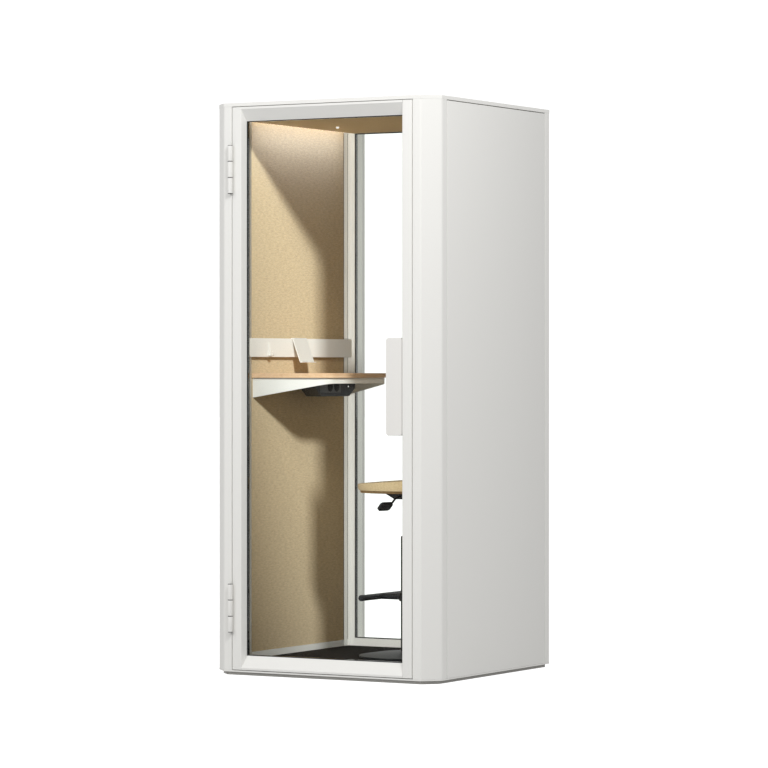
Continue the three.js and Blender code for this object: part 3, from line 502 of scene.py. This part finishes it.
# Door pulls
# Flat steel plates with rounded corners, painted warm white, one on each face of the glass.
# Each stands off on two turned bosses that bolt through the pane.
def rod(start, end, radius, sides=32, round_end=0.0):
    """A circle carried from start to end, whose ends may be rounded off along a quarter arc.

    Ring centres lie along the line; two directions square to it carry cosine and sine. On the arc the ring
    lies in by the end radius times one less the cosine, and is smaller by it times one less the sine.
    """
    start, end = np.asarray(start, float), np.asarray(end, float)
    length = np.linalg.norm(end - start)
    way = (end - start) / length
    across = np.cross(way, (0.0, 0.0, 1.0) if abs(way[2]) < 0.9 else (1.0, 0.0, 0.0))
    across /= np.linalg.norm(across)
    up = np.cross(way, across)
    arc = np.linspace(0, np.pi / 2, 6) if round_end else np.array([np.pi / 2])
    inset = round_end * (1 - np.cos(arc))
    size = radius - round_end * (1 - np.sin(arc))
    run = np.concatenate([inset, length - inset[::-1]])[:, None, None]
    wide = np.concatenate([size, size[::-1]])[:, None, None]
    angle = np.linspace(0, 2 * np.pi, sides, endpoint=False)[:, None]
    return skin(start + run * way + wide * (np.cos(angle) * across + np.sin(angle) * up))


plate_gauge, plate_corner = 0.005, 0.012
boss_radius, boss_spread = 0.008, 0.14
for face, name in ((-1, "door_pull_outer"), (1, "door_pull_inner")):
    low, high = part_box(name)
    middle = (low + high) / 2
    near, far = (high[1], low[1]) if face < 0 else (low[1], high[1])
    plate_back = far - face * plate_gauge
    plate = rounded(oblong((low[0], low[2]), (high[0], high[2])), plate_corner, 8)
    shells = [bar(plate, min(far, plate_back), max(far, plate_back), 1)]
    for boss_z in (middle[2] - boss_spread, middle[2] + boss_spread):
        shells.append(rod((middle[0], near, boss_z), (middle[0], plate_back, boss_z), boss_radius))
    new_piece(f"{name}_plate", shells, warm_coat, "door", [name], ease=0.0012)

# Hinges
# Steel butt hinges in front of the gap, three knuckles on one pin, painted with the door.
# The frame leaf carries the outer knuckles and the door leaf the middle one, with grey bushes between.
pin_x, pin_y = -0.4045, -0.50015
knuckle, knuckle_radius = 0.0624, 0.0095
bush, bush_radius = 0.003, 0.0094
leaf_start, leaf_end, leaf_step = 0.0098, 0.01085, 0.00135
hinge_bush = satin_skin("grey acetal hinge bush", "4a4947", 0.5)
for level in ("upper", "lower"):
    low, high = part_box(f"hinge_{level}_frame_leaf")
    door_low, door_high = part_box(f"hinge_{level}_door_leaf")
    leaf = oblong((low[0] + leaf_start, pin_y), (low[0] + leaf_end, high[1]))
    shells = []
    for z in (low[2], high[2] - knuckle):
        shells.append(rod((pin_x, pin_y, z), (pin_x, pin_y, z + knuckle), knuckle_radius, 40, 0.0028))
        shells.append(bar(leaf, z, z + knuckle, 2))
    new_piece(f"hinge_{level}_frame", shells, white_coat, "pod", [f"hinge_{level}_frame_leaf"])
    bushes = [
        rod((pin_x, pin_y, z), (pin_x, pin_y, z + bush), bush_radius)
        for z in (low[2], door_low[2] - 0.0018, door_high[2] - 0.0012, high[2] - bush)
    ]
    new_piece(f"hinge_{level}_washers", bushes, hinge_bush, "pod", [])
    leaf = [(x + leaf_step, y) for x, y in leaf]
    shells = [
        rod((pin_x, pin_y, door_low[2]), (pin_x, pin_y, door_high[2]), knuckle_radius, 40, 0.0025),
        bar(leaf, door_low[2], door_high[2], 2),
    ]
    new_piece(f"hinge_{level}_door", shells, white_coat, "door", [f"hinge_{level}_door_leaf"])

# Desk
# An oak top with rounded free corners on a folded steel tray that is deep at the wall.
# The oak is oiled to a low sheen, with its grain along the wall in streaks about 12 mm wide.
low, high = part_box("desk_top")
taper, free_corner, wall_corner = 0.114, 0.08, 0.0005
desk_plan = rounded(
    [(low[0], low[1]), (high[0], low[1] + taper), (high[0], high[1] - taper), (low[0], high[1])],
    [wall_corner, free_corner, free_corner, wall_corner],
    24,
)
oak = mottled(
    "oiled oak",
    "b3875a",
    "e0bd92",
    0.012,
    (1.0, 0.06, 1.0),
    [("Detail", 6.0), ("Roughness", 0.65), ("Distortion", 0.6)],
    (0.15, 0.0004),
    [("Roughness", 0.5), ("IOR", 1.45)],
)
new_piece("desk_board", [bar(desk_plan, low[2], high[2], 2)], oak, "pod", ["desk_top"], ease=0.002)
wear(white_coat, "desk_tray")

# Power unit
# A black moulded box hung under the tray, with its lower corners cut off.
# Sockets face the room, beside a small white lamp that shows it is live.
low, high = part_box("power_unit")
end_run, end_rise = 0.046, 0.034
unit_face = rounded(
    [
        (low[1] + end_run, low[2]),
        (high[1] - end_run, low[2]),
        (high[1], low[2] + end_rise),
        (high[1], high[2]),
        (low[1], high[2]),
        (low[1], low[2] + end_rise),
    ],
    0.006,
    6,
)
new_piece(
    "power_unit_case",
    [bar(unit_face, low[0], high[0], 0)],
    black_moulding,
    "pod",
    ["power_unit"],
    ease=0.0015,
)
socket_grey = satin_skin("grey socket plastic", "505052", 0.4)
socket_black = satin_skin("deep black socket plastic", "050505", 0.7)
socket_z = (low[2] + high[2]) / 2 + 0.004
let_in, half_panel = high[0] - 0.002, 0.024
panel_face = rounded(oblong((-0.07, socket_z - half_panel), (0.09, socket_z + half_panel)), 0.005, 6)
panel = bar(panel_face, let_in, high[0] + 0.001, 0)
new_piece("socket_panel", [panel], socket_grey, "pod", [])
for number, socket_y in enumerate((0.008, 0.058)):
    well = rod((let_in, socket_y, socket_z), (high[0] + 0.0016, socket_y, socket_z), 0.02, 40, 0.0006)
    new_piece(f"socket_{number}", [well], socket_black, "pod", [])
live_lamp = glowing("lit white lamp", "ffffff", "ffffff", 0.5, 0.8)
lamp_y = 0.15
lamp = rod((let_in, lamp_y, socket_z), (high[0] + 0.0012, lamp_y, socket_z), 0.003, 24, 0.0008)
new_piece("live_lamp", [lamp], live_lamp, "pod", [])

# Accessory rail, coat hook and phone holder
# A flat steel strip on two bosses; the hook and the holder are folded from sheet and slide along it.
# All are painted the warmer white.
low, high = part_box("accessory_rail")
sheet, boss_inset = 0.004, 0.112
strip = rounded(oblong(low[1:], high[1:]), 0.008, 8)
shells = [bar(strip, high[0] - sheet, high[0], 0)]
rail_z = (low[2] + high[2]) / 2
for boss_y in (low[1] + boss_inset, high[1] - boss_inset):
    shells.append(rod((low[0], boss_y, rail_z), (high[0] - sheet, boss_y, rail_z), 0.01))
new_piece("rail_strip", shells, warm_coat, "pod", ["accessory_rail"], ease=0.001)

low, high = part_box("coat_hook")
lip_height = 0.018
hook_side = rounded(
    [
        (low[0], high[2]),
        (low[0], low[2]),
        (high[0], low[2]),
        (high[0], low[2] + lip_height),
        (high[0] - sheet, low[2] + lip_height),
        (high[0] - sheet, low[2] + sheet),
        (low[0] + sheet, low[2] + sheet),
        (low[0] + sheet, high[2]),
    ],
    [0.001, 0.006, 0.006, 0.0015, 0.0015, 0.002, 0.002, 0.001],
    6,
)
hook = bar(hook_side, low[1], high[1], 1)
new_piece("coat_hook_sheet", [hook], warm_coat, "hook", ["coat_hook"], ease=0.0008)

low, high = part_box("phone_holder")
gauge, tab_drop, tray_width = 0.0024, 0.0163, 0.012
tab_end = high[2] - gauge - tab_drop
lean_top, lean_low = low[0] + gauge + 0.0046, high[0] - tray_width
holder_side = rounded(
    [
        (low[0], high[2]),
        (low[0], tab_end),
        (low[0] + gauge, tab_end),
        (low[0] + gauge, high[2] - gauge),
        (lean_top, high[2] - gauge),
        (lean_low, low[2]),
        (high[0], low[2]),
        (high[0], low[2] + gauge),
        (lean_low + gauge, low[2] + gauge),
        (lean_top + gauge, high[2]),
    ],
    [0.002, 0.0005, 0.0005, 0.0003, 0.0003, 0.003, 0.0008, 0.0008, 0.0015, 0.003],
    5,
)
holder = bar(holder_side, low[1], high[1], 1)
new_piece(
    "phone_holder_sheet", [holder], warm_coat, "holder", ["phone_holder"], ease=0.0006
)

# Stool base, column and foot bar
# A spun steel dome bolted to the floor, a drawn tube and a clamped foot bar, all powder-coated black.
# The gas rod inside the tube is steel with the same dark finish.
black_coat = satin_skin("black powder coat on steel", "202123", 0.45)
axis_hole = 0.001
low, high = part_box("stool_base")
stool = (low + high) / 2
base_radius, crown_radius, rim_height, crown_rise = 0.19, 0.03, 0.008, 0.016
rise = np.linspace(0, 1, 20)
dome = np.stack(
    [
        base_radius - (base_radius - crown_radius) * rise,
        low[2] + rim_height + crown_rise * np.sin(rise * np.pi / 2),
    ],
    1,
)
base_rim = [(axis_hole, low[2]), (base_radius - 0.002, low[2]), (base_radius, low[2] + 0.002)]
base_profile = np.vstack([base_rim, dome, [(axis_hole, high[2])]])
spun_dome = turned(base_profile, stool[0], stool[1], 96)
new_piece("stool_base_dome", [spun_dome], black_coat, "pod", ["stool_base"])

low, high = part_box("stool_column")
tube_radius, bore_radius, bore_depth = 0.025, 0.0145, 0.05
column_profile = [
    (axis_hole, low[2]),
    (tube_radius, low[2]),
    (tube_radius, high[2] - 0.003),
    (tube_radius - 0.003, high[2]),
    (bore_radius, high[2]),
    (bore_radius, high[2] - bore_depth),
    (axis_hole, high[2] - bore_depth),
]
tube = turned(column_profile, stool[0], stool[1], 64)
new_piece("stool_column_tube", [tube], black_coat, "pod", ["stool_column"])

low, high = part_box("gas_rod")
shaft_radius = 0.014
rod_profile = [
    (axis_hole, low[2]),
    (shaft_radius - 0.0002, low[2]),
    (shaft_radius, low[2] + 0.001),
    (shaft_radius, high[2]),
    (axis_hole, high[2]),
]
shaft = turned(rod_profile, stool[0], stool[1], 48)
new_piece("gas_rod_shaft", [shaft], black_coat, "stool_rod", ["gas_rod"])

low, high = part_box("foot_bar")
foot_radius, collar_bore, collar_radius, collar_edge = 0.012, 0.0253, 0.032, 0.002
bar_x, bar_z = low[0] + foot_radius, (low[2] + high[2]) / 2
collar = [
    (collar_bore, low[2]),
    (collar_radius - collar_edge, low[2]),
    (collar_radius, low[2] + collar_edge),
    (collar_radius, high[2] - collar_edge),
    (collar_radius - collar_edge, high[2]),
    (collar_bore, high[2]),
    (collar_bore, low[2] + 0.0001),
]
foot_shells = [
    rod((bar_x, low[1], bar_z), (bar_x, high[1], bar_z), foot_radius, 32, 0.004),
    rod((bar_x, stool[1], bar_z), (stool[0] - 0.03, stool[1], bar_z), foot_radius, 32),
    turned(collar, stool[0], stool[1], 64, False),
]
new_piece("foot_bar_tube", foot_shells, black_coat, "pod", ["foot_bar"])

# Seat
# A black pressed plate carries a round plywood pan and a wedge of upholstered foam, thick at the back.
# The cover is the wall's felted wool, pulled tight over the rim.
plate_low, plate_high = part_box("seat_mechanism")
half_foot, half_flange, half_top, flange = 0.0375, 0.075, 0.09, 0.0065
plate_side = rounded(
    [
        (stool[0] - half_foot, plate_low[2]),
        (stool[0] + half_foot, plate_low[2]),
        (stool[0] + half_flange, plate_high[2] - flange),
        (stool[0] + half_top, plate_high[2]),
        (stool[0] - half_top, plate_high[2]),
        (stool[0] - half_flange, plate_high[2] - flange),
    ],
    0.002,
    4,
)
plate = bar(plate_side, plate_low[1], plate_high[1], 1)
new_piece("seat_plate", [plate], black_coat, "stool_seat", ["seat_mechanism"], ease=0.0015)

low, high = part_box("seat_pan")
pan_radius = 0.185
pan_profile = [
    (axis_hole, low[2]),
    (pan_radius - 0.002, low[2]),
    (pan_radius, low[2] + 0.002),
    (pan_radius, high[2]),
    (axis_hole, high[2]),
]
plywood = pressed_fibre("birch plywood", "9c7a4f", "b8966a", 0.02)
pan = turned(pan_profile, stool[0], stool[1], 96)
new_piece("seat_pan_disc", [pan], plywood, "stool_seat", ["seat_pan"])


def wedge_cushion(x, y, bottom, thin, thick, radius, rings=28, sides=96):
    """A round wedge of foam: a quarter of superellipse from rim to crown, scaled by the local thickness.

    Going out from the middle the radius is R times the sine of t to the power 0.8, the height falls as the
    cosine of t to the power 0.2, and the thickness grows from thin to thick with the point's place along x.
    The rim stands 0.55 of the thickness high, and below it the cover tucks in by a fiftieth of the radius.
    """
    rim, tuck, core = 0.55, 0.02, 0.004
    t = np.linspace(0.02, 1, rings)[:, None] * np.pi / 2
    angle = np.linspace(0, 2 * np.pi, sides, endpoint=False)[None, :]
    out = radius * np.sin(t) ** 0.8
    px = out * np.cos(angle)
    py = out * np.sin(angle)
    depth = thin + (thick - thin) * (px + radius) / (2 * radius)
    top = bottom + depth * (rim + (1 - rim) * np.cos(t) ** 0.2)
    upper = np.stack([x + px, y + py, top], -1)[::-1]
    under = np.linspace(0, 1, 6)[:, None]
    wide = radius * (1 - tuck * under**2)
    fall = bottom + (upper[0, :, 2] - bottom) * (1 - under)
    lower = np.stack([x + wide * np.cos(angle), y + wide * np.sin(angle), fall], -1)
    inner = np.stack([x + core * np.cos(angle), y + core * np.sin(angle), np.full_like(angle, bottom)], -1)
    return skin(np.concatenate([inner, lower[::-1], upper[1:]]))


low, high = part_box("seat_cushion")
seat_felt = pressed_fibre("seat wool felt", "a78f68", "d6c19c", 0.007)
cushion = new_piece(
    "seat_cushion_pad",
    [wedge_cushion(stool[0], stool[1], low[2], 0.026, 0.054, 0.195)],
    seat_felt,
    "stool_seat",
    ["seat_cushion"],
    smooth=60,
)


# Lift lever
# A bent steel rod from the seat plate, moulded over with a black plastic paddle at its end.
# It turns in the plate to open the gas valve.
def bent_rod(path, radius, aside, sides=20):
    """A circle carried along a path of points, each ring square to the line between its two neighbours.

    One spoke direction is fixed, square to the plane of the bend, and the other is square to it and the path.
    """
    way = np.gradient(path, axis=0)
    way /= np.linalg.norm(way, axis=1, keepdims=True)
    up = np.cross(way, aside)
    angle = np.linspace(0, 2 * np.pi, sides, endpoint=False)[None, :, None]
    return skin(path[:, None, :] + radius * (np.cos(angle) * aside + np.sin(angle) * up[:, None, :]))


heading, tilt = math.radians(260), math.radians(50)
upward = np.array([0.0, 0.0, 1.0])
ahead = np.array([math.cos(heading), math.sin(heading), 0.0])
aside = np.array([-math.sin(heading), math.cos(heading), 0.0])
lever_z = (plate_low[2] + plate_high[2]) / 2
paddle_z = lever_z - 0.038
knots = np.array([(0.0391, lever_z), (0.0471, lever_z), (0.0735, lever_z - 0.0095), (0.108, paddle_z)])
run, knot_run = np.linspace(0, 1, 24), np.linspace(0, 1, 4)
bend = np.stack([np.interp(run, knot_run, knots[:, 0]), np.interp(run, knot_run, knots[:, 1])], 1)
bend[2:-2] = (bend[:-4] + bend[1:-3] + bend[2:-2] + bend[3:-1] + bend[4:]) / 5
lever_path = np.array([stool[0], stool[1], 0.0]) + bend[:, :1] * ahead + bend[:, 1:] * upward
half_paddle, half_gauge = 0.019, 0.0055
paddle_plan = rounded(oblong((0.1, -half_paddle), (0.17, half_paddle)), 0.0127, 8)
paddle_verts, paddle_faces = bar(paddle_plan, -half_gauge, half_gauge, 2)
paddle_across = aside * math.cos(tilt) + upward * math.sin(tilt)
paddle_out = np.cross(ahead, paddle_across)
paddle_verts = paddle_verts @ np.stack([ahead, paddle_across, paddle_out]) + (stool[0], stool[1], paddle_z)
new_piece(
    "lift_lever_rod",
    [bent_rod(lever_path, 0.004, aside), (paddle_verts, paddle_faces)],
    black_moulding,
    "lever",
    ["lift_lever"],
    ease=0.002,
)

# Studio
# A pale floor that runs out of sight, a white surround, one soft key light and a large fill.
# Five more lights reach only the pieces of the cabin, and stand for the lamps and the sun that light it.
seamless, tree = new_material("white seamless floor")
seen = add_node(tree, "ShaderNodeLightPath")
paper = add_node(
    tree,
    "ShaderNodeBsdfPrincipled",
    [("Base Color", linear("aaaaaa")), ("Roughness", 0.9), ("Emission Color", (0.95, 0.95, 0.95, 1.0))],
    [("Emission Strength", seen.outputs["Is Camera Ray"])],
)
add_node(tree, "ShaderNodeOutputMaterial", links=[("Surface", paper.outputs[0])])
reach = 60
floor_mesh = bpy.data.meshes.new("studio_floor")
floor_mesh.from_pydata(
    [(-reach, -reach, 0), (reach, -reach, 0), (reach, reach, 0), (-reach, reach, 0)], [], [(0, 1, 2, 3)]
)
floor_mesh.materials.append(seamless)
floor = bpy.data.objects.new("studio_floor", floor_mesh)
scene.collection.objects.link(floor)
floor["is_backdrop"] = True

world = bpy.data.worlds.new("studio")
scene.world = world
world.use_nodes = True
world.node_tree.nodes.clear()
tree = world.node_tree
white = linear("ffffff")
seen = add_node(tree, "ShaderNodeLightPath")
surround = add_node(tree, "ShaderNodeBackground", [("Color", white), ("Strength", 0.7)])
backdrop = add_node(tree, "ShaderNodeBackground", [("Color", white), ("Strength", 1.15)])
sky = add_node(
    tree,
    "ShaderNodeMixShader",
    links=[(0, seen.outputs["Is Camera Ray"]), (1, surround.outputs[0]), (2, backdrop.outputs[0])],
)
add_node(tree, "ShaderNodeOutputWorld", links=[("Surface", sky.outputs[0])])


def soft_light(name, place, target, size, power, lit=(), tint="ffffff"):
    """A panel of light of this width and height, turned to face the target, for some pieces or for all."""
    light = bpy.data.objects.new(name, bpy.data.lights.new(name, "AREA"))
    light.data.shape = "RECTANGLE"
    light.data.size, light.data.size_y = size
    light.data.color = linear(tint)[:3]
    light.data.energy = power
    light.location = place
    way = np.array(target) - np.array(place)
    light.rotation_euler = (
        math.atan2(math.hypot(way[0], way[1]), -way[2]),
        0.0,
        math.atan2(way[1], way[0]) - math.pi / 2,
    )
    light.visible_glossy = False
    light.visible_camera = False
    if lit:
        light.light_linking.receiver_collection = bpy.data.collections.new(name)
        for piece in lit:
            light.light_linking.receiver_collection.objects.link(bpy.data.objects[piece])
    scene.collection.objects.link(light)
    light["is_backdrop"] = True


lining = [
    "skirting_left",
    "carpet",
    "rail_strip",
    "coat_hook_sheet",
    "desk_tray",
]
fittings = [
    "rear_stile_left",
    "rear_stile_right",
    "rear_rail_bottom",
    "rear_rail_top",
    "corner_post_rear_left_skin",
    "phone_holder_sheet",
    "seat_cushion_pad",
    "seat_plate",
    "lift_lever_rod",
    "foot_bar_tube",
    "stool_column_tube",
]
warm_pieces = ["felt_panel_left", "desk_board"]
sun, cabin_middle = (5.1, -4.57, 5.5), (0, 0, 1.2)
wash_from, wash_to = (-0.31, 0.01, 2.15), (-0.405, 0.01, 2.04)
soft_light("key", (2.4, -2.5, 4.2), (0, 0, 1.3), (0.7, 0.7), 75)
soft_light("front_fill", (-3.0, -6.0, 3.5), cabin_middle, (4.0, 4.0), 110)
soft_light("cabin_key", sun, cabin_middle, (0.6, 0.6), 680, lining)
soft_light("holder_key", sun, cabin_middle, (0.6, 0.6), 170, ["phone_holder_sheet"])
soft_light("felt_key", sun, cabin_middle, (0.6, 0.6), 1450, warm_pieces, "dbe6ff")
soft_light("cabin_fill", (2.5, -6.0, 0.7), (0, 0, 1.0), (2.0, 1.0), 280, fittings)
soft_light("ceiling_wash", wash_from, wash_to, (0.7, 0.03), 1.5, ["felt_panel_left"], "c8d8ff")

low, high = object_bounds()
